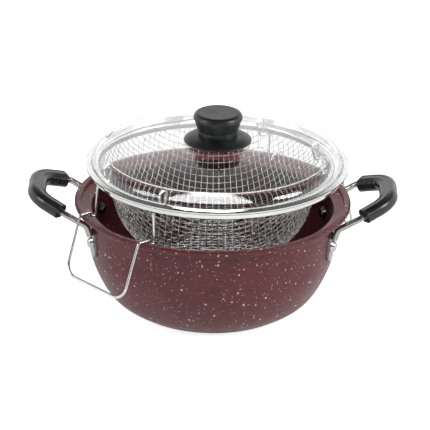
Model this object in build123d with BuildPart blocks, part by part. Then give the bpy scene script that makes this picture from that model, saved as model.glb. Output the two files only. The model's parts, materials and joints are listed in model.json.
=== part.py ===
from build123d import *
from math import atan2, cos, degrees, hypot, radians, sin, sqrt
import os

os.makedirs("parts", exist_ok=True)

# Stovetop deep-frying pot, millimetres. The Z axis is the axis of the pot,
# z = 0 is its flat base, and the two riveted side handles lie along X.

# ---------------------------------------------------------------- pot
base_r = 76.0            # flat base
pot_h = 105.0            # base to the top of the lip
rim_r = 130.0            # outside of the lip
lip_w = 6.0              # width of the flat lip
lip_t = 5.6              # depth of the lip
step_h = 4.4             # drop from the lip to the ledge
ledge_w = 10.2           # sloping ledge inside the lip
ledge_drop = 3.0
wall_t = 3.6
floor_t = 5.0
floor_in = 3.2           # flat inside floor, inward from the edge of the base
neck_t = 4.4             # outside of the wall, outward from the ledge's edge
bulge = [(0.42, 0.114), (0.65, 0.238), (0.82, 0.381), (0.93, 0.524), (0.982, 0.70)]

# ---------------------------------------------------------------- side handles
rivet_az = 20.5          # each side of the X axis, degrees
rivet_below = 29.0       # below the top of the lip
rivet_d = 5.0
rivet_head_d = 12.5
rivet_head_h = 3.4
plate_w = 13.0
plate_l = 30.0
plate_t = 2.4
plate_gap = 0.15          # between the plates and the coated wall
rod_d = 6.0
grip_gap = 11.5          # lip to the cut ends of the grip
grip_reach = 23.5        # cut ends to the middle of the cross bar
arm_half = 44.0          # half the distance between the rods where they enter the grip
bar_half = 25.0          # half the distance between the two bends of the cross bar
rod_above = -1.2         # rods at the grip, above the top of the lip
bar_above = 9.5          # cross bar above the top of the lip
grip_w = 17.0
grip_h = 13.0
grip_bend = 26.0
grip_bore_gap = 0.05
clip_l = 20.0
clip_w = 6.0
clip_t = 1.2
grip_screw_d = 3.0

# ---------------------------------------------------------------- basket
basket_rise = 34.5       # top of the basket rim above the lip, hung up to drain
basket_seat = 0.2        # basket rim wider than the mouth of the pot, to sit in it too
bead_d = 5.6
bead_t = 0.8
band_h = 6.6
basket_depth = 88.0
basket_floor_r = 40.0
skin_t = 1.0             # solid skin standing in for the woven wires
basket_bulge = [(0.36, 0.12), (0.60, 0.295), (0.775, 0.535), (0.915, 0.79)]

# ---------------------------------------------------------------- basket handles
wire_d = 2.4
bail_az = -139.0         # middle of the first handle; the second is opposite
bail_half = 42.7         # half the distance between the two hooks
bail_eye_half = 39.5     # half the distance between the two eyes
bail_drop = 51.5         # bottom bar below the top of the lip
bail_lean = 17.5         # bottom bar further out than the hooks
bail_corner = 13.0
hook_gap = 0.3
hook_play = 3.2          # room between the hooks and the inside of the lip
eye_r = 5.2
eye_top = 10.2           # top of the eyes above the top of the basket rim

# ---------------------------------------------------------------- lid
lid_shift = 3.8          # the loose lid lies pushed over towards +X
lid_play = 0.4           # between the lid's steel rim and the pot's lip
skirt_set = 4.3          # skirt inward from the edge of the steel rim
skirt_h = 6.0
rim_sheet = 0.7
glass_play = 0.3         # between the glass and the line of the skirt
seat_gap = 0.3
ledge_in = 7.9           # steel seat of the glass, inward from the skirt
glass_t = 3.5
shoulder_r = 13.5
dome_h = 23.5            # top of the glass above its seat
glass_hole_d = 8.0

# ---------------------------------------------------------------- knob
flange_d = 63.5
flange_h = 4.6
knob_h = 22.2
knob_neck_d = 37.0
knob_wide_d = 46.0
knob_top_d = 37.5
knob_screw_d = 5.0
gasket_t = 1.2
gasket_d = 40.0
washer_d = 18.0
washer_t = 1.2
under_gasket_t = 1.5
screw_head_d = 9.5
screw_head_h = 3.6
insert_d = 9.0
insert_l = 14.0
fit = 0.05


def finish(piece, label):
    piece.part.label = label
    export_step(piece.part, f"parts/{label}.step")


def shifted(points, distance):
    """Move a polyline of (r, z) points to its left side by a distance."""
    out = []
    for i, (r, z) in enumerate(points):
        a = points[max(i - 1, 0)]
        b = points[min(i + 1, len(points) - 1)]
        length = hypot(b[0] - a[0], b[1] - a[1])
        out.append((r - (b[1] - a[1]) / length * distance, z + (b[0] - a[0]) / length * distance))
    return out


def between(points, z):
    """Radius of a polyline of (r, z) points at a height."""
    for (r0, z0), (r1, z1) in zip(points, points[1:]):
        if z0 <= z <= z1:
            return r0 + (r1 - r0) * (z - z0) / (z1 - z0)
    return points[-1][0]


def slope(points, z):
    """Outward lean of a polyline of (r, z) points at a height, degrees."""
    for (r0, z0), (r1, z1) in zip(points, points[1:]):
        if z0 <= z <= z1:
            return degrees(atan2(r1 - r0, z1 - z0))
    return 0.0


# ================================================================ pot body
lip_in_r = rim_r - lip_w
ledge_z = pot_h - step_h
mouth_r = lip_in_r - ledge_w
mouth_z = ledge_z - ledge_drop
neck_r = mouth_r + neck_t
neck_z = mouth_z - wall_t
outer = [(base_r, 0.0)]
for across, up in bulge:
    outer.append((base_r + (neck_r - base_r) * across, pot_h * up))
outer.append((neck_r, neck_z))
inner = shifted(outer[1:-1], wall_t)
inner = [p for p in inner if p[1] > floor_t + 6.0]

# Rivet places on the wall, used by the wall, the plates and the rivets.
rivet_z = pot_h - rivet_below
rivet_r = between(outer, rivet_z)
wall_lean = slope(outer, rivet_z)
rivet_planes = {}
for name, azimuth in (
    ("right_front", -rivet_az),
    ("right_rear", rivet_az),
    ("left_rear", 180.0 - rivet_az),
    ("left_front", 180.0 + rivet_az),
):
    a = radians(azimuth)
    t = radians(wall_lean)
    rivet_planes[name] = Plane(
        origin=(rivet_r * cos(a), rivet_r * sin(a), rivet_z),
        x_dir=(-sin(a), cos(a), 0.0),
        z_dir=(cos(a) * cos(t), sin(a) * cos(t), -sin(t)),
    )

with BuildPart() as pot_body:
    with BuildSketch(Plane.XZ):
        with BuildLine():
            Line((0, 0), (base_r, 0))
            Spline(*outer, tangents=((1.0, 0.62), (0.02, 1.0)))
            Polyline(
                (neck_r, neck_z),
                (lip_in_r + 1.0, pot_h - lip_t - 2.4),
                (rim_r - 2.6, pot_h - lip_t),
                (rim_r, pot_h - lip_t + 2.0),
                (rim_r, pot_h - 1.6),
                (rim_r - 1.6, pot_h),
                (lip_in_r + 0.8, pot_h),
                (lip_in_r, pot_h - 0.8),
                (lip_in_r - 0.4, ledge_z),
                (mouth_r + 0.6, mouth_z + 0.2),
                (mouth_r, mouth_z - 0.8),
            )
            Spline(
                (mouth_r, mouth_z - 0.8),
                *reversed(inner),
                (base_r - floor_in, floor_t),
                tangents=((0.0, -1.0), (-1.0, 0.0)),
            )
            Line((base_r - floor_in, floor_t), (0, floor_t))
            Line((0, floor_t), (0, 0))
        make_face()
    revolve(axis=Axis.Z)
    for plane in rivet_planes.values():
        with BuildSketch(plane):
            Circle(rivet_d / 2 + fit)
        extrude(amount=20.0, both=True, mode=Mode.SUBTRACT)
finish(pot_body, "pot_body")

# ================================================================ rivets
for name, plane in rivet_planes.items():
    with BuildPart() as rivet:
        outside = plate_gap + plate_t + 0.25
        inside = -wall_t - 0.9
        with BuildSketch(plane.offset(inside - 0.5)):
            Circle(rivet_d / 2)
        extrude(amount=outside - inside + 1.0)
        with BuildSketch(plane.offset(outside)):
            Circle(rivet_head_d / 2)
        extrude(amount=rivet_head_h, taper=38)
        with BuildSketch(Plane(plane.offset(inside).origin, x_dir=plane.x_dir, z_dir=-plane.z_dir)):
            Circle(rivet_head_d / 2)
        extrude(amount=rivet_head_h, taper=38)
        rims = rivet.edges().filter_by(GeomType.CIRCLE)
        crowns = rims.filter_by(lambda e: e.radius < rivet_head_d / 2 - 1.5 and e.radius > rivet_d / 2 + 0.2)
        fillet(crowns, 1.2)
    finish(rivet, f"{name}_rivet")

# ================================================================ side handles
# One handle is drawn on the +X side and turned half round for the other.
grip_x = rim_r + grip_gap
bar_x = grip_x + grip_reach
rod_x = grip_x - 5.5
rod_z = pot_h + rod_above
bar_z = pot_h + bar_above
tilt = atan2(bar_z - rod_z, bar_x - rod_x)
plate_top = rivet_z + plate_l / 2
rod_foot_r = between(outer, plate_top) + plate_t
foot_y = (rod_foot_r + rod_d / 2) * sin(radians(rivet_az))
foot_x = (rod_foot_r + rod_d / 2) * cos(radians(rivet_az))
side = [
    (foot_x - 1.6, -foot_y - 0.4, plate_top - 8.0),
    (foot_x + 1.6, -foot_y + 0.6, plate_top + 1.5),
    (rod_x, -arm_half, rod_z),
    (bar_x, -bar_half, bar_z),
]
rod_path = side + [(x, -y, z) for x, y, z in reversed(side)]
cut = (grip_x - rod_x) / (bar_x - rod_x)
cut_end = tuple(p + (q - p) * cut for p, q in zip(side[2], side[3]))
grip_side = [cut_end, side[3]]
grip_path = grip_side + [(x, -y, z) for x, y, z in reversed(grip_side)]
grip_up = (-sin(tilt), 0.0, cos(tilt))
grip_face = Plane(origin=(bar_x, 0, bar_z), x_dir=(0, 1, 0), z_dir=(cos(tilt), 0, sin(tilt)))

with BuildPart() as rod:
    with BuildLine():
        rod_line = FilletPolyline(*rod_path, radius=(7.0, 9.0, grip_bend, grip_bend, 9.0, 7.0))
    with BuildSketch(Plane(rod_line @ 0, z_dir=rod_line % 0)):
        Circle(rod_d / 2)
    sweep()

with BuildPart() as plates:
    with BuildSketch(Plane.XZ):
        with BuildLine():
            skin = [p for p in outer if p[1] > pot_h * 0.3]
            low = shifted(skin, -plate_gap)
            high = shifted(skin, -plate_gap - plate_t)
            Spline(*low)
            Line(low[-1], high[-1])
            Spline(*reversed(high))
            Line(high[0], low[0])
        make_face()
    revolve(axis=Axis.Z)
    with BuildSketch(rivet_planes["right_front"].offset(-10.0)) as left_plate:
        SlotOverall(plate_l, plate_w, rotation=90)
    with BuildSketch(rivet_planes["right_rear"].offset(-10.0)) as right_plate:
        SlotOverall(plate_l, plate_w, rotation=90)
    cutter = extrude(left_plate.sketch, amount=24.0, dir=rivet_planes["right_front"].z_dir, mode=Mode.PRIVATE)
    other = extrude(right_plate.sketch, amount=24.0, dir=rivet_planes["right_rear"].z_dir, mode=Mode.PRIVATE)
    add([cutter, other], mode=Mode.INTERSECT)

with BuildPart() as right_rod:
    add(rod.part)
    with BuildSketch(Plane.XZ):
        with BuildLine():
            wall = shifted([p for p in outer if p[1] > pot_h * 0.2], -plate_gap)
            Polyline((0, wall[0][1]), wall[0])
            Spline(*wall)
            Polyline(wall[-1], (0, wall[-1][1]), (0, wall[0][1]))
        make_face()
    revolve(axis=Axis.Z, mode=Mode.SUBTRACT)
    add(plates.part)
    for key in ("right_front", "right_rear"):
        with BuildSketch(rivet_planes[key]):
            Circle(rivet_d / 2 + fit)
        extrude(amount=20.0, both=True, mode=Mode.SUBTRACT)

slot_at = -grip_w / 2
with BuildPart() as right_grip:
    with BuildLine():
        grip_line = FilletPolyline(*grip_path, radius=grip_bend)
    with BuildSketch(Plane(grip_line @ 0, x_dir=grip_up, z_dir=grip_line % 0)):
        RectangleRounded(grip_h, grip_w, grip_h * 0.42)
        with Locations((grip_h / 2 + 0.6, 3.2), (grip_h / 2 + 0.6, -3.2)):
            Circle(1.3, mode=Mode.SUBTRACT)
    sweep()
    with BuildLine(mode=Mode.PRIVATE):
        bore_line = FilletPolyline(*grip_path, radius=grip_bend)
    with BuildSketch(Plane(bore_line @ 0, x_dir=grip_up, z_dir=bore_line % 0)):
        Circle(rod_d / 2 + grip_bore_gap)
    sweep(path=bore_line, mode=Mode.SUBTRACT)
    with BuildSketch(grip_face.offset(slot_at - 1.0)):
        RectangleRounded(clip_l + 2.0, clip_w + 1.0, 2.0)
    extrude(amount=1.0 + 3.2, mode=Mode.SUBTRACT)
    with BuildSketch(grip_face.offset(slot_at)):
        Circle(grip_screw_d / 2 + fit)
    extrude(amount=(grip_w - rod_d) / 2, mode=Mode.SUBTRACT)

clip_at = slot_at + 3.2 - clip_t - fit
with BuildPart() as right_clip:
    with BuildSketch(grip_face.offset(clip_at)):
        RectangleRounded(clip_l, clip_w, 1.6)
        Circle(grip_screw_d / 2 + fit, mode=Mode.SUBTRACT)
    extrude(amount=clip_t)

with BuildPart() as right_screw:
    with BuildSketch(grip_face.offset(clip_at - fit - 1.6)):
        Circle(grip_screw_d)
    extrude(amount=1.6)
    fillet(right_screw.faces().sort_by(Axis.X)[0].edges(), 0.6)
    with BuildSketch(grip_face.offset(clip_at - fit)):
        Circle(grip_screw_d / 2)
    extrude(amount=slot_at + (grip_w - rod_d) / 2 - clip_at - 0.4)
    with BuildSketch(grip_face.offset(clip_at - fit - 1.6)):
        Rectangle(grip_screw_d * 1.3, 0.7)
        Rectangle(0.7, grip_screw_d * 1.3)
    extrude(amount=0.8, mode=Mode.SUBTRACT)

for label, source in (
    ("handle_rod", right_rod),
    ("handle_grip", right_grip),
    ("grip_clip", right_clip),
    ("grip_screw", right_screw),
):
    finish(source, f"right_{label}")
    with BuildPart() as turned:
        add(source.part.rotate(Axis.Z, 180.0))
    finish(turned, f"left_{label}")

# ================================================================ basket
rim_top = pot_h + basket_rise
basket_rim_r = mouth_r + basket_seat
bead_r = basket_rim_r - bead_d / 2
bead_z = rim_top - bead_d / 2
core_r = bead_d / 2 - bead_t
band_r = basket_rim_r - bead_d
band_bottom = rim_top - band_h
floor_z = rim_top - basket_depth
bowl = [(basket_floor_r, floor_z)]
for across, up in basket_bulge:
    bowl.append((basket_floor_r + (band_r - 1.2 - basket_floor_r) * across, floor_z + basket_depth * up))
bowl.append((band_r - 0.4, band_bottom - 3.0))
bowl_in = shifted(bowl[1:-1], skin_t)

# Places where the handle wires pass below the rim.
cross_z = band_bottom - hook_gap - wire_d / 2

with BuildPart() as basket_mesh:
    with BuildSketch(Plane.XZ):
        with BuildLine():
            Line((0, floor_z), bowl[0])
            Spline(*bowl, tangents=((1.0, 0.25), (0.06, 1.0)))
            Polyline(
                bowl[-1],
                (band_r - 0.3, band_bottom + 2.6),
                (band_r - 0.3 - skin_t, band_bottom + 2.6),
                (band_r - 0.4 - skin_t, band_bottom - 3.0),
            )
            Spline(
                (band_r - 0.4 - skin_t, band_bottom - 3.0),
                *reversed(bowl_in),
                (basket_floor_r - 1.0, floor_z + skin_t),
                tangents=((-0.06, -1.0), (-1.0, -0.25)),
            )
            Line((basket_floor_r - 1.0, floor_z + skin_t), (0, floor_z + skin_t))
            Line((0, floor_z + skin_t), (0, floor_z))
        make_face()
    revolve(axis=Axis.Z)
    for turn in (0.0, 180.0):
        for half in (-1.0, 1.0):
            a = radians(bail_az + turn)
            window = Plane(
                origin=(0, 0, cross_z - 4.6),
                x_dir=(-sin(a), cos(a), 0.0),
                z_dir=(cos(a), sin(a), 0.0),
            )
            with BuildSketch(window.offset(band_r * 0.7)):
                with Locations((half * bail_eye_half, 0.0)):
                    Rectangle(7.0, 14.0)
            extrude(amount=band_r * 0.5, mode=Mode.SUBTRACT)
finish(basket_mesh, "basket_mesh")

with BuildPart() as basket_rim_band:
    with BuildSketch(Plane.XZ):
        with Locations((bead_r, bead_z)):
            Circle(bead_d / 2)
        with Locations((band_r + bead_t / 2, (band_bottom + bead_z) / 2)):
            Rectangle(bead_t, bead_z - band_bottom)
        with Locations((bead_r, bead_z)):
            Circle(core_r, mode=Mode.SUBTRACT)
        with Locations((bead_r - core_r + 0.9, bead_z - core_r)):
            Rectangle(0.8, 1.8, mode=Mode.SUBTRACT)
    revolve(axis=Axis.Z)
finish(basket_rim_band, "basket_rim_band")

with BuildPart() as basket_rim_wire:
    with BuildSketch(Plane.XZ):
        with Locations((bead_r, bead_z)):
            Circle(core_r - fit)
    revolve(axis=Axis.Z)
finish(basket_rim_wire, "basket_rim_wire")


# ================================================================ basket handles
def along(radius, half):
    """Distance outward at which a circle round the axis meets an offset line."""
    return sqrt(radius * radius - half * half)


wire_r = wire_d / 2
lip_outer_n = along(rim_r, bail_half)
lip_inner_n = along(lip_in_r, bail_half)
pivot_n = along(basket_rim_r - 2.6, bail_eye_half)
eye_n = along(band_r, bail_eye_half) - wire_r - eye_r - 1.9
arch_z = pot_h + hook_gap + wire_r
valley_z = arch_z - 4.6
half_path = [
    (eye_n + 3.4, bail_eye_half, cross_z),
    (pivot_n + 2.6, bail_eye_half + 1.0, cross_z),
    (lip_inner_n - hook_play - 6.0, bail_half, valley_z),
    (lip_inner_n - hook_play - 1.0, bail_half, valley_z),
    (lip_inner_n - hook_play + 0.6, bail_half, arch_z),
    (lip_outer_n + 3.2, bail_half, arch_z),
    (lip_outer_n + 3.2 + bail_lean, bail_half - 1.0, pot_h - bail_drop),
]
bail_points = half_path + [(n, -c, z) for n, c, z in reversed(half_path)]
bail_radii = [2.6, 2.3, 2.3, 2.3, 3.0, bail_corner]
eye_z = rim_top + eye_top - wire_r

with BuildPart() as bail:
    with BuildLine():
        bail_line = FilletPolyline(*bail_points, radius=bail_radii + bail_radii[::-1])
    with BuildSketch(Plane(bail_line @ 0, z_dir=bail_line % 0)):
        Circle(wire_r)
    sweep()
for half in (-1.0, 1.0):
    c = half * bail_eye_half
    with BuildPart() as eye:
        with BuildLine():
            eye_line = FilletPolyline(
                (eye_n - eye_r, c, eye_z),
                (eye_n + eye_r, c, eye_z),
                (eye_n + 4.4, c, cross_z + 0.7),
                (eye_n + 0.8, c, cross_z + 0.7),
                radius=(eye_r * 0.8, eye_r * 0.8, 1.5, 1.5),
                close=True,
            )
        with BuildSketch(Plane(eye_line @ 0.5, z_dir=eye_line % 0.5)):
            Circle(wire_r)
        sweep(path=eye_line)
    with bail:
        add(eye.part)

for label, azimuth in (("basket_handle_front", bail_az), ("basket_handle_rear", bail_az + 180.0)):
    with BuildPart() as turned:
        add(bail.part.rotate(Axis.Z, azimuth))
    finish(turned, label)

# ================================================================ lid
lid_z = rim_top + seat_gap
seat_top = lid_z + rim_sheet
lid_plane = Plane(origin=(lid_shift, 0, 0), x_dir=(1, 0, 0), z_dir=(0, -1, 0))
lid_line = Axis((lid_shift, 0, 0), (0, 0, 1))
lid_flat = Plane(origin=(lid_shift, 0, 0))
lid_r = lip_in_r - lid_play
skirt_r = lid_r - skirt_set
glass_r = skirt_r - rim_sheet - glass_play
ledge_in_r = skirt_r - ledge_in
bead_top = seat_top + 2.0
skirt_bottom = lid_z - skirt_h

inner_shoulder = shoulder_r - glass_t
glass_in_r = glass_r - glass_t
shoulder_c = (glass_r - shoulder_r, seat_top + 1.2)
dome_run = shoulder_c[0]
dome_rise = dome_h - (shoulder_c[1] - seat_top) - shoulder_r
lean = 2.0 * atan2(dome_rise, dome_run)
dome_r = dome_run / sin(lean)
tip = (shoulder_c[0] + shoulder_r * sin(lean), shoulder_c[1] + shoulder_r * cos(lean))
tip_in = (shoulder_c[0] + inner_shoulder * sin(lean), shoulder_c[1] + inner_shoulder * cos(lean))
mid = (radians(90.0) + lean) / 2
knee = (shoulder_c[0] + shoulder_r * sin(mid), shoulder_c[1] + shoulder_r * cos(mid))
knee_in = (shoulder_c[0] + inner_shoulder * sin(mid), shoulder_c[1] + inner_shoulder * cos(mid))
centre_z = tip[1] - (dome_r + shoulder_r) * cos(lean)
top_r = hypot(tip[0], tip[1] - centre_z)
under_r = hypot(tip_in[0], tip_in[1] - centre_z)
glass_top = centre_z + top_r
glass_under = centre_z + under_r


def on_dome(radius, r):
    """Height of a dome surface at a distance from the axis of the lid."""
    return centre_z + sqrt(radius * radius - r * r)


with BuildPart() as lid_glass:
    with BuildSketch(lid_plane):
        with BuildLine():
            hole_r = glass_hole_d / 2
            Line((glass_in_r, seat_top + 0.03), (glass_r, seat_top + 0.03))
            Line((glass_r, seat_top + 0.03), (glass_r, shoulder_c[1]))
            ThreePointArc((glass_r, shoulder_c[1]), knee, tip)
            ThreePointArc(tip, (tip[0] / 2, on_dome(top_r, tip[0] / 2)), (hole_r, on_dome(top_r, hole_r)))
            Line((hole_r, on_dome(top_r, hole_r)), (hole_r, on_dome(under_r, hole_r)))
            ThreePointArc(
                (hole_r, on_dome(under_r, hole_r)),
                (tip_in[0] / 2, on_dome(under_r, tip_in[0] / 2)),
                tip_in,
            )
            ThreePointArc(tip_in, knee_in, (glass_in_r, shoulder_c[1]))
            Line((glass_in_r, shoulder_c[1]), (glass_in_r, seat_top + 0.03))
        make_face()
    revolve(axis=lid_line)
finish(lid_glass, "lid_glass")

with BuildPart() as lid_rim:
    with BuildSketch(lid_plane):
        with BuildLine():
            Polyline(
                (ledge_in_r, lid_z),
                (skirt_r - rim_sheet, lid_z),
                (skirt_r - rim_sheet, skirt_bottom),
                (skirt_r, skirt_bottom),
                (skirt_r, lid_z - 1.3),
                (lid_r - 0.8, lid_z - 1.0),
                (lid_r, lid_z - 0.2),
                (lid_r, seat_top + 0.4),
                (lid_r - 1.4, bead_top - 0.5),
                (glass_r + 0.6, bead_top),
                (glass_r + fit, bead_top - 0.4),
                (glass_r + fit, seat_top),
                (ledge_in_r, seat_top),
                close=True,
            )
        make_face()
    revolve(axis=lid_line)
finish(lid_rim, "lid_rim")

# ---------------------------------------------------------------- knob
gasket_r = gasket_d / 2
flange_r = flange_d / 2
gasket_top = glass_top + gasket_t
flange_top = gasket_top + flange_h
knob_z = flange_top
stem_r = knob_screw_d / 2

with BuildPart() as knob_gasket:
    with BuildSketch(lid_plane):
        with BuildLine():
            Line((stem_r + 0.6, gasket_top), (gasket_r, gasket_top))
            Line((gasket_r, gasket_top), (gasket_r, on_dome(top_r, gasket_r) + 0.03))
            ThreePointArc(
                (gasket_r, on_dome(top_r, gasket_r) + 0.03),
                (gasket_r * 0.6, on_dome(top_r, gasket_r * 0.6) + 0.03),
                (stem_r + 0.6, on_dome(top_r, stem_r + 0.6) + 0.03),
            )
            Line((stem_r + 0.6, on_dome(top_r, stem_r + 0.6) + 0.03), (stem_r + 0.6, gasket_top))
        make_face()
    revolve(axis=lid_line)
finish(knob_gasket, "knob_gasket")

with BuildPart() as knob_flange:
    with BuildSketch(lid_plane):
        with BuildLine():
            foot = knob_neck_d / 2 + 1.0
            Polyline(
                (stem_r + fit, gasket_top + 0.02),
                (gasket_r + 0.2, gasket_top + 0.02),
                (gasket_r + 1.2, on_dome(top_r, gasket_r + 1.2) + 0.6),
                (flange_r - 0.8, on_dome(top_r, flange_r) + 0.7),
            )
            ThreePointArc(
                (flange_r - 0.8, on_dome(top_r, flange_r) + 0.7),
                (flange_r, on_dome(top_r, flange_r) + 1.5),
                (flange_r - 0.7, on_dome(top_r, flange_r) + 2.5),
            )
            ThreePointArc(
                (flange_r - 0.7, on_dome(top_r, flange_r) + 2.5),
                ((flange_r + foot) / 2, flange_top - 1.1),
                (foot, flange_top),
            )
            Polyline(
                (foot, flange_top),
                (foot - 1.0 + fit, flange_top),
                (foot - 1.0 + fit, flange_top - 1.5),
                (stem_r + fit, flange_top - 1.5),
                (stem_r + fit, gasket_top + 0.02),
            )
        make_face()
    revolve(axis=lid_line)
finish(knob_flange, "knob_flange")

with BuildPart() as lid_knob:
    with BuildSketch(lid_plane):
        with BuildLine():
            top_z = knob_z + knob_h
            Line((0, top_z), (knob_top_d / 2, top_z))
            Spline(
                (knob_top_d / 2, top_z),
                (knob_wide_d / 2 - 0.9, top_z - 2.0),
                (knob_wide_d / 2, top_z - 5.0),
                (knob_wide_d / 2 - 1.4, top_z - 9.5),
                (knob_neck_d / 2 + 0.6, top_z - knob_h * 0.72),
                (knob_neck_d / 2, knob_z),
                tangents=((1.0, -0.12), (-0.06, -1.0)),
            )
            Polyline(
                (knob_neck_d / 2, knob_z),
                (knob_neck_d / 2, flange_top - 1.5 + fit),
                (0, flange_top - 1.5 + fit),
                (0, top_z),
            )
        make_face()
    revolve(axis=lid_line)
    with BuildSketch(lid_flat.offset(flange_top - 1.5)):
        Circle(insert_d / 2 + fit)
    extrude(amount=insert_l + 1.5, mode=Mode.SUBTRACT)
finish(lid_knob, "lid_knob")

with BuildPart() as knob_insert:
    with BuildSketch(lid_flat.offset(flange_top - 1.5 + 2 * fit)):
        Circle(insert_d / 2)
        Circle(stem_r + fit, mode=Mode.SUBTRACT)
    extrude(amount=insert_l)
finish(knob_insert, "knob_insert")

under_z = on_dome(under_r, washer_d / 2)
with BuildPart() as under_gasket:
    with BuildSketch(lid_flat.offset(under_z - 0.03 - under_gasket_t)):
        Circle(washer_d / 2)
        Circle(stem_r + 0.6, mode=Mode.SUBTRACT)
    extrude(amount=under_gasket_t)
finish(under_gasket, "under_gasket")

washer_z = under_z - 0.05 - under_gasket_t - washer_t
with BuildPart() as knob_washer:
    with BuildSketch(lid_flat.offset(washer_z)):
        Circle(washer_d / 2 - 1.0)
        Circle(stem_r + 0.3, mode=Mode.SUBTRACT)
    extrude(amount=washer_t)
    fillet(knob_washer.edges().group_by(Axis.Z)[0].filter_by(lambda e: e.radius > 4.0), 0.4)
finish(knob_washer, "knob_washer")

with BuildPart() as knob_screw:
    with BuildSketch(lid_flat.offset(washer_z - 0.02)):
        Circle(stem_r)
    extrude(amount=flange_top - 1.5 + insert_l - 2.0 - washer_z)
    with BuildSketch(lid_flat.offset(washer_z - 0.02 - screw_head_h)):
        Circle(screw_head_d / 2)
    extrude(amount=screw_head_h)
    fillet(knob_screw.edges().group_by(Axis.Z)[0], 1.4)
    with BuildSketch(lid_flat.offset(washer_z - 0.02 - screw_head_h)):
        Rectangle(screw_head_d * 0.55, 1.1)
        Rectangle(1.1, screw_head_d * 0.55)
    extrude(amount=1.6, mode=Mode.SUBTRACT)
finish(knob_screw, "knob_screw")
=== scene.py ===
# %% [markdown]
# # A stovetop frying pot with a hanging wire basket and a glass lid
#
# The pot is one spun shell with a coloured stone-effect coating. Two bakelite grips are held by
# bent steel rods that are riveted to the wall. A bowl of woven wire hangs high in the pot by two
# wire handles hooked over the lip, and a domed glass lid lies on the rim of that bowl.
#
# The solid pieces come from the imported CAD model, which is the fixed frame for everything here.
# This script adds what the CAD model leaves out: the weave of the bowl, the finishes of all the
# pieces, the light and the camera.

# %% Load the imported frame
import json
from math import atan2, cos, hypot, pi, radians, sin

import bpy
from mathutils import Matrix, Vector


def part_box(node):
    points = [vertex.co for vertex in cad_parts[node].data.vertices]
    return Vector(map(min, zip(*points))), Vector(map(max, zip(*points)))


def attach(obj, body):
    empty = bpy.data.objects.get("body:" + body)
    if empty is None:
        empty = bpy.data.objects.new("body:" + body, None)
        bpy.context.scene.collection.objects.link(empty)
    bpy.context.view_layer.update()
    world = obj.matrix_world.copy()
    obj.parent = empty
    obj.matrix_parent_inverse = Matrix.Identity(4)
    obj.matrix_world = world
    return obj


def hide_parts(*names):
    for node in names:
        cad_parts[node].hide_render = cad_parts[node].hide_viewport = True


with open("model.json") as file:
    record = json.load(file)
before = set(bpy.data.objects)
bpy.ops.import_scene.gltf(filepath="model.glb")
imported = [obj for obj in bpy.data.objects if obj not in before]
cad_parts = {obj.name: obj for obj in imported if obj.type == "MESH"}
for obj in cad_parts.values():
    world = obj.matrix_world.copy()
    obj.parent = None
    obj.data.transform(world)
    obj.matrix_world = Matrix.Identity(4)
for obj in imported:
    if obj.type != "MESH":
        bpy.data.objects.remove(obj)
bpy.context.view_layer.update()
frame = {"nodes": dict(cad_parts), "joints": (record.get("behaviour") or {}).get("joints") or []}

nodes = frame["nodes"]

# %% [markdown]
# ## Where things are
#
# Every place below is read from the frame, so the finishes and the weave stay right when a size
# changes in the CAD model. A node's box gives its lowest and highest corners in metres.

# %% Read the places that the rest needs
base_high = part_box("pot_body")[1]
lip_z = base_high.z
lip_r = base_high.x
lid_low, lid_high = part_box("lid_rim")
lid_centre = Vector(((lid_low.x + lid_high.x) / 2, (lid_low.y + lid_high.y) / 2, 0.0))
print("lip at", round(lip_z, 4), "radius", round(lip_r, 4), "lid centre", lid_centre[:2])

# %% [markdown]
# ## Camera
#
# Cookware is shown from a little above, with a long lens, so that the rings of the lip, the basket
# and the lid all read as slim ellipses and nothing bulges towards the viewer. The lens is long and
# the camera far away; it leans a touch, as a hand-held or hastily levelled camera does.

# %% Place the camera
TARGET = Vector((0.0, 0.0, 0.067))
AIM = Vector((0.0024, 0.0, 0.0880))
DISTANCE = 3.518
ELEVATION = radians(23.0)
LEAN = radians(0.95)

camera_data = bpy.data.cameras.new("camera")
camera_data.lens = 311.3
camera_data.sensor_width = 36.0
camera_data.clip_end = 60.0
camera = bpy.data.objects.new("camera", camera_data)
bpy.context.scene.collection.objects.link(camera)
camera.location = TARGET + DISTANCE * Vector((0.0, -cos(ELEVATION), sin(ELEVATION)))
look = (AIM - camera.location).normalized()
turn = look.to_track_quat("-Z", "Y").to_matrix().to_4x4() @ Matrix.Rotation(LEAN, 4, "Z")
camera.matrix_world = Matrix.Translation(camera.location) @ turn
bpy.context.scene.camera = camera
print("camera at", [round(c, 3) for c in camera.location])

# %% [markdown]
# ## Studio
#
# Glass and polished steel show the room more than themselves, so the room is drawn with care. The
# wall behind and beside the pot is white up to about thirty degrees and falls to dark above it: a
# dome of glass seen from low down mirrors exactly that part of the room, and it makes the grey veil
# over the back of the lid. The room in front, behind the camera, is dim, so the front of the coated
# wall keeps its deep colour and only its sides pale. A bright sail overhead is caught by the front
# shoulder of the dome, as an arch; it only lights the glass, because it would wash out the rest.

# %% The room as a gradient by height and depth
world = bpy.data.worlds.new("studio")
bpy.context.scene.world = world
world.use_nodes = True
wt = world.node_tree
wt.nodes.clear()
direction = wt.nodes.new("ShaderNodeTexCoord")
split = wt.nodes.new("ShaderNodeSeparateXYZ")
ramp = wt.nodes.new("ShaderNodeValToRGB")
dim = wt.nodes.new("ShaderNodeMapRange")
sky = wt.nodes.new("ShaderNodeBackground")
out = wt.nodes.new("ShaderNodeOutputWorld")
stops = [(0.0, 1.0), (0.43, 0.90), (0.50, 0.62), (0.58, 0.30), (0.68, 0.12), (1.0, 0.10)]
for place, value in stops[1:-1]:
    ramp.color_ramp.elements.new(place)
for element, (place, value) in zip(ramp.color_ramp.elements, stops):
    element.position = place
    element.color = (value, value, value * 1.01, 1.0)
for socket, value in zip(list(dim.inputs)[1:5], (-0.75, 0.05, 0.16, 1.30)):
    socket.default_value = value
dim.interpolation_type = "SMOOTHSTEP"
wt.links.new(direction.outputs["Generated"], split.inputs[0])
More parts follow.
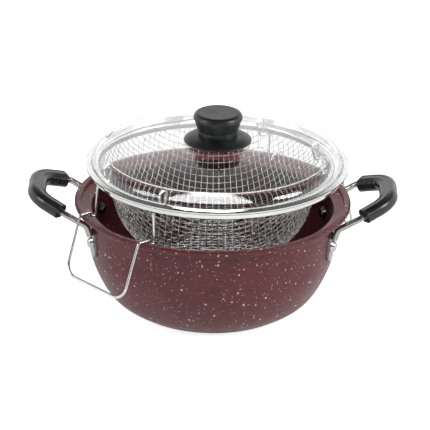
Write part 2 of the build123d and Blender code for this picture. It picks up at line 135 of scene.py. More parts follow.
wt.links.new(split.outputs["Z"], ramp.inputs[0])
wt.links.new(split.outputs["Y"], dim.inputs[0])
wt.links.new(ramp.outputs[0], sky.inputs["Color"])
wt.links.new(dim.outputs[0], sky.inputs["Strength"])
wt.links.new(sky.outputs[0], out.inputs[0])
print("room gradient has", len(ramp.color_ramp.elements), "stops")


# %% Soft lamps
def soft_lamp(name, place, size, power, aim=(0.0, 0.0, 0.09), deep=None):
    """An area lamp that faces a point: round, or a box of size by deep."""
    data = bpy.data.lights.new(name, "AREA")
    data.shape = "RECTANGLE" if deep else "DISK"
    data.size = size
    if deep:
        data.size_y = deep
    data.energy = power
    lamp = bpy.data.objects.new(name, data)
    bpy.context.scene.collection.objects.link(lamp)
    lamp.location = place
    lamp.rotation_euler = (Vector(aim) - Vector(place)).to_track_quat("-Z", "Y").to_euler()
    return lamp


def on_sky(azimuth, elevation, distance):
    """A place seen from the pot at an azimuth (0 is +X, 90 is +Y) and a height, in degrees."""
    a, e = radians(azimuth), radians(elevation)
    return (distance * cos(a) * cos(e), distance * sin(a) * cos(e), distance * sin(e))


soft_lamp("left_lamp", on_sky(200, 30, 2.6), 1.2, 20.0)
soft_lamp("right_lamp", on_sky(-20, 30, 2.6), 1.2, 34.0)
soft_lamp("front_lamp", on_sky(-75, 55, 2.8), 1.0, 16.0)

# %% A bright sail overhead, narrow at the back and wide at the front
SAIL_HEIGHT = 1.75
SAIL = [(-0.03, 1.74), (-0.36, 0.20), (-0.88, -0.60), (-2.60, -2.60)]
SAIL += [(2.00, -3.00), (0.59, -0.73), (0.23, 0.15)]
sail_mesh = bpy.data.meshes.new("sail")
sail_mesh.from_pydata([(x, y, SAIL_HEIGHT) for x, y in SAIL], [], [list(range(len(SAIL)))])
sail = bpy.data.objects.new("sail", sail_mesh)
bpy.context.scene.collection.objects.link(sail)
cloth_light = bpy.data.materials.new("sail_light")
cloth_light.use_nodes = True
bright = cloth_light.node_tree.nodes["Principled BSDF"]
bright.inputs["Base Color"].default_value = (0.0, 0.0, 0.0, 1.0)
bright.inputs["Emission Color"].default_value = (1.0, 1.0, 1.0, 1.0)
bright.inputs["Emission Strength"].default_value = 9.0
sail_mesh.materials.append(cloth_light)
glass_only = bpy.data.collections.new("lid_dome")
glass_only.objects.link(nodes["lid_glass"])
sail.light_linking.receiver_collection = glass_only
sail.visible_camera = sail.visible_diffuse = sail.visible_shadow = False
print("sail with", len(SAIL), "corners")

# %% A pale floor
floor_mesh = bpy.data.meshes.new("floor")
floor_mesh.from_pydata([(-12, -12, 0), (12, -12, 0), (12, 12, 0), (-12, 12, 0)], [], [(0, 1, 2, 3)])
floor = bpy.data.objects.new("floor", floor_mesh)
bpy.context.scene.collection.objects.link(floor)
floor_paint = bpy.data.materials.new("floor_paint")
floor_paint.use_nodes = True
paper = floor_paint.node_tree.nodes["Principled BSDF"]
paper.inputs["Base Color"].default_value = (0.8, 0.8, 0.8, 1.0)
paper.inputs["Roughness"].default_value = 1.0
paper.inputs["Specular IOR Level"].default_value = 0.0
paper.inputs["Emission Color"].default_value = (1.0, 1.0, 1.0, 1.0)
paper.inputs["Emission Strength"].default_value = 0.35
seen = floor_paint.node_tree.nodes.new("ShaderNodeLightPath")
lit = floor_paint.node_tree.nodes.new("ShaderNodeMath")
lit.operation = "MULTIPLY_ADD"
lit.inputs[1].default_value = 0.45
lit.inputs[2].default_value = 0.35
floor_paint.node_tree.links.new(seen.outputs["Is Camera Ray"], lit.inputs[0])
floor_paint.node_tree.links.new(lit.outputs[0], paper.inputs["Emission Strength"])
floor_mesh.materials.append(floor_paint)
bpy.context.scene.view_settings.view_transform = "Standard"
print("floor laid")

# %% [markdown]
# ## Shared effects
#
# Several finishes need the same small effects: specks in a coating, the fine circles that a lathe
# or a spinning chuck leaves, the uneven gloss of handled surfaces and the skin of moulded plastic.
# Each is a node group, built once. A group only gives out masks and heights; the shader itself
# stays in each material, so that every material can weigh the effect its own way.


# %% A helper for small node trees
def group(name, inputs, outputs):
    """An empty shader group with named sockets."""
    tree = bpy.data.node_groups.new(name, "ShaderNodeTree")
    for label, kind, value in inputs:
        socket = tree.interface.new_socket(name=label, in_out="INPUT", socket_type=kind)
        if value is not None:
            socket.default_value = value
    for label, kind in outputs:
        tree.interface.new_socket(name=label, in_out="OUTPUT", socket_type=kind)
    return tree, tree.nodes.new("NodeGroupInput"), tree.nodes.new("NodeGroupOutput")


def feed(tree, socket, value):
    """Link or set one input."""
    if isinstance(value, bpy.types.NodeSocket):
        tree.links.new(value, socket)
    elif value is not None:
        socket.default_value = value


def sums(tree, operation, *values, clamp=False):
    """A Math node; each value is a number or another node's output."""
    node = tree.nodes.new("ShaderNodeMath")
    node.operation = operation
    node.use_clamp = clamp
    for socket, value in zip(node.inputs, values):
        feed(tree, socket, value)
    return node.outputs[0]


def noise(tree, vector, scale, detail=2.0, roughness=0.5):
    node = tree.nodes.new("ShaderNodeTexNoise")
    feed(tree, node.inputs["Vector"], vector)
    feed(tree, node.inputs["Scale"], scale)
    feed(tree, node.inputs["Detail"], detail)
    feed(tree, node.inputs["Roughness"], roughness)
    return node.outputs["Fac"]


def spread(tree, value, low, high, to_low=0.0, to_high=1.0):
    """A Map Range node that eases between two values."""
    node = tree.nodes.new("ShaderNodeMapRange")
    node.interpolation_type = "SMOOTHSTEP"
    for socket, v in zip(list(node.inputs)[:5], (value, low, high, to_low, to_high)):
        feed(tree, socket, v)
    return node.outputs[0]


def axis_distance(tree, place):
    """Distance from the upright axis of a place split into X, Y and Z."""
    squares = [sums(tree, "POWER", place.outputs[i], 2.0) for i in (0, 1)]
    return sums(tree, "SQRT", sums(tree, "ADD", *squares))


F, V = "NodeSocketFloat", "NodeSocketVector"
print("helpers ready")

# %% Specks in a coating
specks, gi, go = group(
    "specks",
    [("Vector", V, None), ("Cell", F, 0.005), ("Size", F, 0.0005), ("Share", F, 0.3), ("Ragged", F, 0.3)],
    [("Mask", F), ("Tint", F)],
)
wobble = specks.nodes.new("ShaderNodeTexNoise")
wobble.inputs["Scale"].default_value = 900.0
wobble.inputs["Detail"].default_value = 1.0
specks.links.new(gi.outputs["Vector"], wobble.inputs["Vector"])
centred = specks.nodes.new("ShaderNodeVectorMath")
centred.operation = "SUBTRACT"
centred.inputs[1].default_value = (0.5, 0.5, 0.5)
specks.links.new(wobble.outputs["Color"], centred.inputs[0])
pushed = specks.nodes.new("ShaderNodeVectorMath")
pushed.operation = "SCALE"
specks.links.new(centred.outputs[0], pushed.inputs[0])
push_by = sums(specks, "MULTIPLY", gi.outputs["Ragged"], 6.0)
feed(specks, pushed.inputs["Scale"], sums(specks, "MULTIPLY", gi.outputs["Size"], push_by))
moved = specks.nodes.new("ShaderNodeVectorMath")
moved.operation = "ADD"
specks.links.new(gi.outputs["Vector"], moved.inputs[0])
specks.links.new(pushed.outputs[0], moved.inputs[1])
cells = specks.nodes.new("ShaderNodeTexVoronoi")
specks.links.new(moved.outputs[0], cells.inputs["Vector"])
feed(specks, cells.inputs["Scale"], sums(specks, "DIVIDE", 1.0, gi.outputs["Cell"]))
parts = specks.nodes.new("ShaderNodeSeparateColor")
specks.links.new(cells.outputs["Color"], parts.inputs[0])
reach = sums(specks, "DIVIDE", gi.outputs["Size"], gi.outputs["Cell"])
reach = sums(specks, "MULTIPLY", reach, spread(specks, parts.outputs[1], 0.0, 1.0, 0.45, 1.25))
near = spread(specks, cells.outputs["Distance"], sums(specks, "MULTIPLY", reach, 0.75), reach, 1.0, 0.0)
chosen = sums(specks, "LESS_THAN", parts.outputs[0], gi.outputs["Share"])
specks.links.new(sums(specks, "MULTIPLY", near, chosen), go.inputs["Mask"])
specks.links.new(parts.outputs[2], go.inputs["Tint"])
print("specks group:", len(specks.nodes), "nodes")

# %% Fine circles from spinning
lathe, gi, go = group(
    "lathe_rings",
    [("Vector", V, None), ("Centre", V, (0.0, 0.0, 0.0)), ("Lines", F, 3000.0)],
    [("Height", F), ("Streak", F)],
)
off_axis = lathe.nodes.new("ShaderNodeVectorMath")
off_axis.operation = "SUBTRACT"
lathe.links.new(gi.outputs["Vector"], off_axis.inputs[0])
lathe.links.new(gi.outputs["Centre"], off_axis.inputs[1])
xyz = lathe.nodes.new("ShaderNodeSeparateXYZ")
lathe.links.new(off_axis.outputs[0], xyz.inputs[0])
radius = axis_distance(lathe, xyz)
ring = lathe.nodes.new("ShaderNodeCombineXYZ")
lathe.links.new(radius, ring.inputs[0])
lathe.links.new(xyz.outputs[2], ring.inputs[1])
lathe.links.new(noise(lathe, ring.outputs[0], gi.outputs["Lines"], 1.0), go.inputs["Height"])
slow = sums(lathe, "MULTIPLY", gi.outputs["Lines"], 0.12)
lathe.links.new(noise(lathe, ring.outputs[0], slow, 2.0), go.inputs["Streak"])
print("lathe rings group:", len(lathe.nodes), "nodes")

# %% Uneven gloss of handled surfaces
handled, gi, go = group(
    "handled_gloss",
    [("Vector", V, None), ("Scale", F, 60.0), ("Low", F, 0.2), ("High", F, 0.4)],
    [("Roughness", F)],
)
patches = noise(handled, gi.outputs["Vector"], gi.outputs["Scale"], 4.0, 0.6)
uneven = spread(handled, patches, 0.35, 0.68, gi.outputs["Low"], gi.outputs["High"])
handled.links.new(uneven, go.inputs["Roughness"])
print("handled gloss group:", len(handled.nodes), "nodes")

# %% Skin of moulded plastic
moulded, gi, go = group(
    "moulded_skin",
    [("Vector", V, None), ("Grain", F, 0.0004)],
    [("Height", F), ("Cloud", F)],
)
grain_scale = sums(moulded, "DIVIDE", 1.0, gi.outputs["Grain"])
moulded.links.new(noise(moulded, gi.outputs["Vector"], grain_scale, 2.0, 0.6), go.inputs["Height"])
moulded.links.new(noise(moulded, gi.outputs["Vector"], 35.0, 2.0), go.inputs["Cloud"])
print("moulded skin group:", len(moulded.nodes), "nodes")

# %% [markdown]
# ## Finishes
#
# Each material starts from one Principled shader. What is the same all over is set on its own
# sockets. What changes over the surface, such as specks, streaks and wear, comes from the groups
# and reads Object coordinates, which are the real metres of the finished piece.


# %% Helpers for materials
def finish_of(name, **plain):
    """A new material with its tree, its shader and its object coordinates."""
    paint = bpy.data.materials.new(name)
    paint.use_nodes = True
    tree = paint.node_tree
    shader = tree.nodes["Principled BSDF"]
    for label, value in plain.items():
        shader.inputs[label.replace("_", " ")].default_value = value
    where = tree.nodes.new("ShaderNodeTexCoord").outputs["Object"]
    return paint, tree, shader, where


def use(tree, shared, where, **values):
    node = tree.nodes.new("ShaderNodeGroup")
    node.node_tree = shared
    tree.links.new(where, node.inputs["Vector"])
    for label, value in values.items():
        feed(tree, node.inputs[label], value)
    return node.outputs


def blend(tree, amount, first, second):
    """Mix two colours."""
    node = tree.nodes.new("ShaderNodeMix")
    node.data_type = "RGBA"
    feed(tree, node.inputs[0], amount)
    for socket, value in ((node.inputs[6], first), (node.inputs[7], second)):
        feed(tree, socket, value if isinstance(value, bpy.types.NodeSocket) else (*value, 1.0))
    return node.outputs[2]


def bump(tree, shader, height, distance, strength=1.0):
    node = tree.nodes.new("ShaderNodeBump")
    node.inputs["Distance"].default_value = distance
    node.inputs["Strength"].default_value = strength
    feed(tree, node.inputs["Height"], height)
    tree.links.new(node.outputs[0], shader.inputs["Normal"])


def paint_nodes(material, *names):
    """Give a finish to CAD nodes."""
    for name in names:
        mesh = nodes[name].data
        mesh.materials.clear()
        mesh.materials.append(material)


print("material helpers ready")

# %% [markdown]
# ### Stone-effect coating
#
# The coating is a wine-brown non-stick enamel sprayed over aluminium, with paler flecks thrown on
# before it is baked. The flecks come in two sizes, a few of them large, most of them dust, and each
# has its own tint. The sheen is satin, and a soft orange-peel bump breaks up the reflections. The
# inner wall is painted near black with a weaker sheen, as painted shade. The bottom few tenths of a
# millimetre are darker.

# %% Coating
coating, tree, shader, where = finish_of("pot_coating", IOR=1.5, Metallic=0.0)
cloud = noise(tree, where, 55.0, 3.0, 0.6)
body_tone = blend(tree, spread(tree, cloud, 0.3, 0.7), (0.080, 0.0100, 0.0130), (0.105, 0.0155, 0.0190))
fine_grit = noise(tree, where, 1500.0, 1.0)
body_tone = blend(tree, spread(tree, fine_grit, 0.60, 0.72, 0.0, 0.35), body_tone, (0.20, 0.065, 0.07))
dust = use(tree, specks, where, Cell=0.0023, Size=0.00046, Share=0.60, Ragged=0.35)
chips = use(tree, specks, where, Cell=0.0056, Size=0.00092, Share=0.58, Ragged=0.5)
dust_tone = blend(tree, dust["Tint"], (0.34, 0.18, 0.16), (0.78, 0.70, 0.66))
chip_tone = blend(tree, chips["Tint"], (0.52, 0.42, 0.38), (0.86, 0.80, 0.76))
body_tone = blend(tree, sums(tree, "MULTIPLY", dust["Mask"], 0.8), body_tone, dust_tone)
body_tone = blend(tree, sums(tree, "MULTIPLY", chips["Mask"], 0.95), body_tone, chip_tone)
height_axis = tree.nodes.new("ShaderNodeSeparateXYZ")
tree.links.new(where, height_axis.inputs[0])
outward = tree.nodes.new("ShaderNodeVectorMath")
outward.operation = "MULTIPLY"
outward.inputs[1].default_value = (1.0, 1.0, 0.0)
tree.links.new(where, outward.inputs[0])
facing = tree.nodes.new("ShaderNodeVectorMath")
facing.operation = "DOT_PRODUCT"
tree.links.new(outward.outputs[0], facing.inputs[0])
tree.links.new(tree.nodes.new("ShaderNodeTexCoord").outputs["Normal"], facing.inputs[1])
# Painted shade: the inner wall, below the lip and above the floor, is painted near black and given a weaker
# sheen.
painted_shade_inside = sums(tree, "LESS_THAN", facing.outputs["Value"], 0.0005)
painted_shade_inside = sums(tree, "MULTIPLY", painted_shade_inside, sums(tree, "LESS_THAN", height_axis.outputs[2], lip_z - 0.0075))
painted_shade_inside = sums(tree, "MULTIPLY", painted_shade_inside, sums(tree, "GREATER_THAN", height_axis.outputs[2], 0.003))
body_tone = blend(tree, sums(tree, "MULTIPLY", painted_shade_inside, 0.85), body_tone, (0.008, 0.002, 0.0025))
feed(tree, shader.inputs["Specular IOR Level"], spread(tree, painted_shade_inside, 0.0, 1.0, 0.42, 0.12))
# The bottom few tenths of a millimetre are made darker.
darker_bottom = spread(tree, height_axis.outputs[2], 0.0004, 0.0012, 1.0, 0.0)
body_tone = blend(tree, darker_bottom, body_tone, (0.02, 0.015, 0.015))
tree.links.new(body_tone, shader.inputs["Base Color"])
gloss = use(tree, handled, where, Scale=24.0, Low=0.33, High=0.42)
tree.links.new(gloss["Roughness"], shader.inputs["Roughness"])
peel = sums(tree, "ADD", noise(tree, where, 420.0, 2.0), sums(tree, "MULTIPLY", chips["Mask"], 0.4))
bump(tree, shader, peel, 0.00008)
paint_nodes(coating, "pot_body")
print("coating nodes:", len(tree.nodes))


# %% [markdown]
# ### Steels
#
# Three steels are told apart by how they were made. Rolled rings and the band are spun, so their
# fine lines run round the axis. Rods and wires are drawn and then polished, so they are smooth with
# a slightly uneven gloss. Rivets are pressed and barrelled; their heads outside keep the bare steel,
# and their ends inside the pot are painted dark, as painted shade.

# %% Spun and drawn steels
def steel(name, tone, low, high, scale=60.0, lines=None, centre=(0.0, 0.0, 0.0), depth=0.00001):
    paint, tree, shader, where = finish_of(name, Metallic=1.0)
    gloss = use(tree, handled, where, Scale=scale, Low=low, High=high)
    cloud = noise(tree, where, scale * 0.7, 3.0)
    dark = tuple(c * 0.88 for c in tone)
    colour = blend(tree, spread(tree, cloud, 0.3, 0.7), dark, tone)
    if lines:
        rings = use(tree, lathe, where, Centre=centre, Lines=lines)
        colour = blend(tree, spread(tree, rings["Streak"], 0.35, 0.7, 0.0, 0.5), colour, dark)
        bump(tree, shader, rings["Height"], depth)
    else:
        bump(tree, shader, noise(tree, where, 900.0, 2.0), depth)
    tree.links.new(colour, shader.inputs["Base Color"])
    tree.links.new(gloss["Roughness"], shader.inputs["Roughness"])
    return paint


ring_steel = steel("lid_ring_steel", (0.80, 0.80, 0.785), 0.07, 0.14, lines=4200.0, centre=tuple(lid_centre))
band_steel = steel("basket_band_steel", (0.74, 0.74, 0.73), 0.16, 0.26, lines=4200.0)
rod_steel = steel("handle_rod_steel", (0.44, 0.43, 0.42), 0.14, 0.24, scale=90.0)
rivet_steel = steel("rivet_steel", (0.60, 0.60, 0.59), 0.12, 0.22, scale=220.0)
low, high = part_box("right_front_rivet")
shank_r = hypot((low.x + high.x) / 2, (low.y + high.y) / 2)
tree = rivet_steel.node_tree
where = tree.nodes.new("ShaderNodeSeparateXYZ")
tree.links.new(tree.nodes.new("ShaderNodeTexCoord").outputs["Object"], where.inputs[0])
from_axis = axis_distance(tree, where)
shader = tree.nodes["Principled BSDF"]
bare = shader.inputs["Base Color"].links[0].from_socket
# Painted shade: rivet ends nearer the axis than the shank's middle, inside the pot, are painted dark.
painted_shade_inner_end = spread(tree, from_axis, shank_r - 0.001, shank_r, 1.0, 0.0)
tree.links.new(blend(tree, painted_shade_inner_end, bare, (0.075, 0.070, 0.070)), shader.inputs["Base Color"])
wire_steel = steel("bright_wire_steel", (0.74, 0.735, 0.72), 0.12, 0.22, scale=160.0)
woven_steel = steel("woven_wire_steel", (0.36, 0.355, 0.345), 0.26, 0.40, scale=120.0)
clip_steel = steel("clip_steel", (0.30, 0.30, 0.31), 0.22, 0.36, scale=200.0)
screw_steel = steel("screw_steel", (0.62, 0.62, 0.61), 0.16, 0.28, scale=260.0)
paint_nodes(ring_steel, "lid_rim")
paint_nodes(band_steel, "basket_rim_band", "basket_rim_wire")
paint_nodes(rod_steel, "left_handle_rod", "right_handle_rod")
paint_nodes(rivet_steel, *[n for n in nodes if n.endswith("_rivet")])
paint_nodes(wire_steel, "basket_handle_front", "basket_handle_rear")
paint_nodes(clip_steel, "left_grip_clip", "right_grip_clip")
paint_nodes(screw_steel, "left_grip_screw", "right_grip_screw", "knob_screw", "knob_washer")
print("steels:", [m.name for m in bpy.data.materials if m.name.endswith("steel")])


# %% [markdown]
# ### Bakelite, knob and rubber
#
# The grips are pressed from phenolic resin and buffed: almost black, glossy on the ridges. The knob
# is the same resin left satin from its mould, a touch bluer and greyer, with a fine even grain. The
# gaskets are matt silicone and the insert is turned brass.

# %% Dark plastics
def plastic(name, deep, worn, low, high, grain, depth, **plain):
    paint, tree, shader, where = finish_of(name, **plain)
    skin = use(tree, moulded, where, Grain=grain)
    gloss = use(tree, handled, where, Scale=70.0, Low=low, High=high)
    colour = blend(tree, spread(tree, skin["Cloud"], 0.3, 0.75), deep, worn)
    tree.links.new(colour, shader.inputs["Base Color"])
    tree.links.new(gloss["Roughness"], shader.inputs["Roughness"])
    bump(tree, shader, skin["Height"], depth)
    return paint


grip_resin = plastic(
    "grip_resin", (0.008, 0.008, 0.010), (0.016, 0.016, 0.019), 0.20, 0.32, 0.0011, 0.00003, IOR=1.55
)
knob_resin = plastic(
    "knob_resin", (0.0045, 0.0055, 0.0065), (0.008, 0.0095, 0.011), 0.32, 0.42, 0.00035, 0.00002, IOR=1.5
)
silicone = plastic(
    "gasket_silicone", (0.030, 0.030, 0.032), (0.045, 0.045, 0.048), 0.62, 0.75, 0.0005, 0.00003
)
paint_nodes(grip_resin, "left_handle_grip", "right_handle_grip")
paint_nodes(knob_resin, "lid_knob", "knob_flange")
paint_nodes(silicone, "knob_gasket", "under_gasket")
brass = steel(
    "turned_brass", (0.66, 0.49, 0.22), 0.22, 0.34, scale=200.0, lines=5000.0, centre=tuple(lid_centre)
)
paint_nodes(brass, "knob_insert")
print("dark plastics and brass done")

# %% [markdown]
# ### Tempered glass
#
# The dome is a real 3.5 mm wall, so its two faces bend and mirror light by themselves. Light from
# lamps would be lost in it, so for shadow rays only the glass lets it straight through. A faint
# uneven film on the surface softens the mirror image here and there.

# %% Glass
glass, tree, shader, where = finish_of(
    "tempered_glass", Metallic=0.0, IOR=1.5, Transmission_Weight=1.0, Base_Color=(0.985, 0.995, 0.99, 1.0)
)
film = use(tree, handled, where, Scale=18.0, Low=0.0, High=0.035)
tree.links.new(film["Roughness"], shader.inputs["Roughness"])
clear = tree.nodes.new("ShaderNodeBsdfTransparent")
path = tree.nodes.new("ShaderNodeLightPath")
choice = tree.nodes.new("ShaderNodeMixShader")
tree.links.new(path.outputs["Is Shadow Ray"], choice.inputs[0])
tree.links.new(shader.outputs[0], choice.inputs[1])
tree.links.new(clear.outputs[0], choice.inputs[2])
tree.links.new(choice.outputs[0], tree.nodes["Material Output"].inputs["Surface"])
paint_nodes(glass, "lid_glass")
print("glass done")

# %% [markdown]
# ## The woven bowl
#
# The basket is a square of plain-woven wire cloth pressed into a bowl. Two sets of wires cross at
# right angles, each going over one and under the next, and the pressing keeps the lengths along a
# wire but lets the cells slide into lozenges between the two directions. So the cloth is made flat
# first, as two sets of straight lines, and each point is then laid on the bowl at the same distance
# from the middle, measured along the bowl's profile. That one rule gives the square cells of the
# floor, the narrow ones of the wall and the lozenges in between. The profile is read from the CAD
# bowl, so both always agree.
#
# A tree of geometry nodes follows the rule, because its wires, pitch and thickness can then be
# changed by one number each. Near the four places where the handle wires pass, the cloth is opened
# like a buttonhole, which also gives the wires room to swing.

# %% Profile of the bowl, from its middle to just inside the rim band
bowl = nodes["basket_mesh"].data
ring_radius = {}
for v in bowl.vertices:
    level = round(v.co.z, 4)
    ring_radius[level] = max(ring_radius.get(level, 0.0), hypot(v.co.x, v.co.y))
band_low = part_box("basket_rim_band")[0].z
bowl_low = min(ring_radius)
wall = [(r, z) for z, r in sorted(ring_radius.items()) if r > 0.030 and z < band_low - 0.001]
wall = [p for i, p in enumerate(wall) if i == 0 or (p[0] > wall[i - 1][0] - 0.0003)]
band_r = max(hypot(v.co.x, v.co.y) for v in bowl.vertices)
print("rings on the bowl:", len(wall), "from", wall[0], "to", wall[-1], "band", round(band_r, 4))


def outline(rings, count):
    """Fewer points of the wall, evenly spread in height, without the rings of the windows."""
    picked = []
    low, high = rings[0][1], rings[-1][1]
    for k in range(count + 1):
        level = low + (high - low) * k / count
        picked.append(min(rings, key=lambda p: abs(p[1] - level)))
    return picked


THREAD = 0.00072
skin = 0.0005
steps = [(r - skin, z) for r, z in outline(wall, 22)]
floor_ring = steps[0]
profile = [(0.0, bowl_low + skin), (floor_ring[0] * 0.5, bowl_low + skin)] + steps
profile += [(band_r - 0.0001, band_low - 0.0008), (band_r + 0.0006, band_low + 0.0006)]
profile += [(band_r + 0.0007, band_low + 0.0014)]
line = bpy.data.curves.new("bowl_profile", "CURVE")
line.dimensions = "3D"
spline = line.splines.new("POLY")
spline.points.add(len(profile) - 1)
for point, (r, z) in zip(spline.points, profile):
    point.co = (r, 0.0, z, 1.0)
weave = bpy.data.objects.new("woven_bowl_profile", line)
bpy.context.scene.collection.objects.link(weave)
flat_radius = sum(hypot(b[0] - a[0], b[1] - a[1]) for a, b in zip(profile, profile[1:]))
print("the cloth is a disc of radius", round(flat_radius, 4), "m before it is pressed")

# %% Where the handle wires go through the cloth
hinge = next(j for j in frame["joints"] if j["name"] == "front_bail_swing")
hinge_at = Vector(hinge.get("pos_m") or hinge.get("pos"))
side_az = atan2(hinge_at.y, hinge_at.x)
front_wire = nodes["basket_handle_front"].data
along_hinge = Vector((-sin(side_az), cos(side_az), 0.0))
crossing = [
    v.co
    for v in front_wire.vertices
    if abs(hypot(v.co.x, v.co.y) - band_r) < 0.006 and abs(v.co.z - hinge_at.z) < 0.0013
]
half_gap = sum(abs(c.dot(along_hinge)) for c in crossing) / len(crossing)
angle_out = atan2(half_gap, (band_r**2 - half_gap**2) ** 0.5)
print("handle wires cross at", round(half_gap, 4), "m each side,", round(angle_out, 3), "rad")

# %% A small writer for geometry node trees
tree = bpy.data.node_groups.new("pressed_wire_cloth", "GeometryNodeTree")
for label, kind, value in (
    ("Profile", "NodeSocketGeometry", None),
    ("Pitch", F, 0.0065),
    ("Thread", F, THREAD),
    ("Steps per Cell", "NodeSocketInt", 4),
    ("Handle Azimuth", F, side_az),
    ("Handle Half Angle", F, angle_out),
    ("Hole Depth", F, 0.0074),
    ("Hole Width", F, 0.0042),
    ("Hole Height", F, 0.0090),
    ("Finish", "NodeSocketMaterial", None),
):
    socket = tree.interface.new_socket(name=label, in_out="INPUT", socket_type=kind)
    if value is not None:
        socket.default_value = value
tree.interface.new_socket(name="Geometry", in_out="OUTPUT", socket_type="NodeSocketGeometry")
gin, gout = tree.nodes.new("NodeGroupInput"), tree.nodes.new("NodeGroupOutput")


def gmath(operation, *values):
    return sums(tree, operation, *values)


def gnode(kind, **settings):
    node = tree.nodes.new(kind)
    for label, value in settings.items():
        setattr(node, label, value)
    return node


def vector(x=0.0, y=0.0, z=0.0):
    node = gnode("ShaderNodeCombineXYZ")
    for socket, value in zip(node.inputs, (x, y, z)):
        feed(tree, socket, value)
    return node.outputs[0]


print("tree inputs:", [i.name for i in tree.interface.items_tree if i.in_out == "INPUT"])

# %% The flat cloth: two sets of straight lines
length = gnode("GeometryNodeCurveLength")
tree.links.new(gin.outputs["Profile"], length.inputs[0])
reach = length.outputs[0]
pitch = gin.outputs["Pitch"]
half_count = gmath("ADD", gmath("FLOOR", gmath("DIVIDE", reach, pitch)), 1.0)
edge = gmath("MULTIPLY", half_count, pitch)
count = gmath("ADD", gmath("MULTIPLY", half_count, 2.0), 1.0)
one = gnode("GeometryNodeCurvePrimitiveLine")
tree.links.new(vector(gmath("MULTIPLY", edge, -1.0)), one.inputs["Start"])
tree.links.new(vector(edge), one.inputs["End"])
fine = gnode("GeometryNodeResampleCurve")
tree.links.new(one.outputs[0], fine.inputs["Curve"])
cells_each = gmath("MULTIPLY", half_count, 2.0)
points_each = gmath("ADD", gmath("MULTIPLY", cells_each, gin.outputs["Steps per Cell"]), 1.0)
tree.links.new(points_each, fine.inputs["Count"])
row = gnode("GeometryNodeMeshLine")
tree.links.new(count, row.inputs["Count"])
tree.links.new(vector(0.0, gmath("MULTIPLY", edge, -1.0)), row.inputs["Start Location"])
tree.links.new(vector(0.0, pitch), row.inputs["Offset"])
copies = gnode("GeometryNodeInstanceOnPoints")
tree.links.new(row.outputs[0], copies.inputs["Points"])
tree.links.new(fine.outputs[0], copies.inputs["Instance"])
real = gnode("GeometryNodeRealizeInstances")
tree.links.new(copies.outputs[0], real.inputs[0])
both = gnode("GeometryNodeJoinGeometry")
for turn_by, sign in ((0.0, 1.0), (pi / 2, -1.0)):
    turned = gnode("GeometryNodeTransform")
    tree.links.new(real.outputs[0], turned.inputs["Geometry"])
    turned.inputs["Rotation"].default_value = (0.0, 0.0, turn_by)
    named = gnode("GeometryNodeStoreNamedAttribute", data_type="FLOAT", domain="POINT")
    tree.links.new(turned.outputs[0], named.inputs["Geometry"])
    named.inputs["Name"].default_value = "over"
    named.inputs["Value"].default_value = sign
    tree.links.new(named.outputs[0], both.inputs[0])
print("flat cloth has", len(tree.nodes), "nodes so far")

# %% Cut the cloth to a disc
place = gnode("GeometryNodeInputPosition").outputs[0]
flat = gnode("ShaderNodeSeparateXYZ")
tree.links.new(place, flat.inputs[0])
x, y = flat.outputs[0], flat.outputs[1]
away = gmath("SQRT", gmath("ADD", gmath("MULTIPLY", x, x), gmath("MULTIPLY", y, y)))
margin = gmath("DIVIDE", pitch, gmath("MULTIPLY", gin.outputs["Steps per Cell"], 2.0))
trim = gnode("GeometryNodeDeleteGeometry", domain="POINT")
tree.links.new(both.outputs[0], trim.inputs["Geometry"])
tree.links.new(gmath("GREATER_THAN", away, gmath("ADD", reach, margin)), trim.inputs["Selection"])
print("cloth cut")

# %% Open the cloth round the four handle wires
azimuth = gmath("ARCTAN2", y, x)
swung = gmath("WRAP", gmath("SUBTRACT", azimuth, gin.outputs["Handle Azimuth"]), pi / 2, -pi / 2)
side = gmath("SIGN", swung)
beside = gmath("SUBTRACT", gmath("ABSOLUTE", swung), gin.outputs["Handle Half Angle"])
wall_radius = band_r
across = gmath("DIVIDE", gmath("MULTIPLY", beside, wall_radius), gin.outputs["Hole Width"])
hole_at = gmath("SUBTRACT", reach, gin.outputs["Hole Depth"])
along = gmath("DIVIDE", gmath("SUBTRACT", away, hole_at), gin.outputs["Hole Height"])
far = gmath("SQRT", gmath("ADD", gmath("MULTIPLY", across, across), gmath("MULTIPLY", along, along)))
far = gmath("MAXIMUM", far, 0.02)
wider = gmath("DIVIDE", gmath("POWER", gmath("ADD", gmath("POWER", far, 4.0), 1.0), 0.25), far)
push = gmath("SUBTRACT", wider, 1.0)
shift_across = gmath("MULTIPLY", gmath("MULTIPLY", across, push), gin.outputs["Hole Width"])
shift_along = gmath("MULTIPLY", gmath("MULTIPLY", along, push), gin.outputs["Hole Height"])
new_azimuth = gmath("ADD", azimuth, gmath("MULTIPLY", side, gmath("DIVIDE", shift_across, wall_radius)))
new_away = gmath("MINIMUM", gmath("ADD", away, shift_along), reach)
print("buttonholes ready")

# %% Lay the cloth on the bowl, over one and under the next
sample = gnode("GeometryNodeSampleCurve", mode="LENGTH", data_type="FLOAT")
tree.links.new(gin.outputs["Profile"], sample.inputs["Curves"])
tree.links.new(new_away, sample.inputs["Length"])
at = gnode("ShaderNodeSeparateXYZ")
tree.links.new(sample.outputs["Position"], at.inputs[0])
lean = gnode("ShaderNodeSeparateXYZ")
tree.links.new(sample.outputs["Tangent"], lean.inputs[0])
over = gnode("GeometryNodeInputNamedAttribute", data_type="FLOAT")
over.inputs["Name"].default_value = "over"
wave_x, wave_y = [gmath("COSINE", gmath("MULTIPLY", gmath("DIVIDE", v, pitch), pi)) for v in (x, y)]
waves = gmath("MULTIPLY", gmath("MULTIPLY", wave_x, wave_y), over.outputs[0])
lift = gmath("MULTIPLY", waves, gmath("MULTIPLY", gin.outputs["Thread"], 0.52))
out_r = gmath("ADD", at.outputs[0], gmath("MULTIPLY", lean.outputs[2], lift))
out_z = gmath("SUBTRACT", at.outputs[2], gmath("MULTIPLY", lean.outputs[0], lift))
pressed = gnode("GeometryNodeSetPosition")
tree.links.new(trim.outputs[0], pressed.inputs["Geometry"])
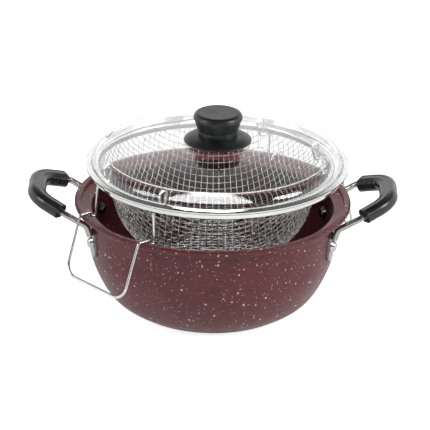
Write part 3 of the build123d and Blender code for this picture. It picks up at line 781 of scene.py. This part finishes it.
out_x, out_y = [gmath("MULTIPLY", out_r, gmath(turn, new_azimuth)) for turn in ("COSINE", "SINE")]
tree.links.new(vector(out_x, out_y, out_z), pressed.inputs["Position"])
print("cloth pressed")

# %% Give the lines a round section and a finish
section = gnode("GeometryNodeCurvePrimitiveCircle")
section.inputs["Resolution"].default_value = 5
tree.links.new(gmath("MULTIPLY", gin.outputs["Thread"], 0.5), section.inputs["Radius"])
tube = gnode("GeometryNodeCurveToMesh")
tree.links.new(pressed.outputs[0], tube.inputs["Curve"])
tree.links.new(section.outputs[0], tube.inputs["Profile Curve"])
tube.inputs["Fill Caps"].default_value = True
smooth = gnode("GeometryNodeSetShadeSmooth")
tree.links.new(tube.outputs[0], smooth.inputs["Geometry"])
solid = gnode("GeometryNodeRealizeInstances")
tree.links.new(smooth.outputs[0], solid.inputs[0])
painted = gnode("GeometryNodeSetMaterial")
tree.links.new(solid.outputs[0], painted.inputs["Geometry"])
tree.links.new(gin.outputs["Finish"], painted.inputs["Material"])
tree.links.new(painted.outputs[0], gout.inputs[0])
print("cloth tree:", len(tree.nodes), "nodes")


# %% Bake the tree into a plain mesh
def bake_tree(source, tree, name, **values):
    """Run a tree on an object and keep the result as a plain mesh object."""
    modifier = source.modifiers.new("tree", "NODES")
    modifier.node_group = tree
    sockets = {i.name: i.identifier for i in tree.interface.items_tree if i.in_out == "INPUT"}
    for label, value in values.items():
        modifier[sockets[label.replace("_", " ")]] = value
    bpy.context.view_layer.update()
    evaluated = source.evaluated_get(bpy.context.evaluated_depsgraph_get())
    mesh = bpy.data.meshes.new_from_object(evaluated)
    source.modifiers.remove(modifier)
    made = bpy.data.objects.new(name, mesh)
    bpy.context.scene.collection.objects.link(made)
    bpy.data.objects.remove(source)
    return made


cloth = bake_tree(weave, tree, "woven_wire_bowl", Finish=woven_steel)
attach(cloth, "basket")
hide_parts("basket_mesh")
heights = [v.co.z for v in cloth.data.vertices]
print("woven bowl:", len(cloth.data.polygons), "faces")
print("its z goes from", round(min(heights), 4), "to", round(max(heights), 4))
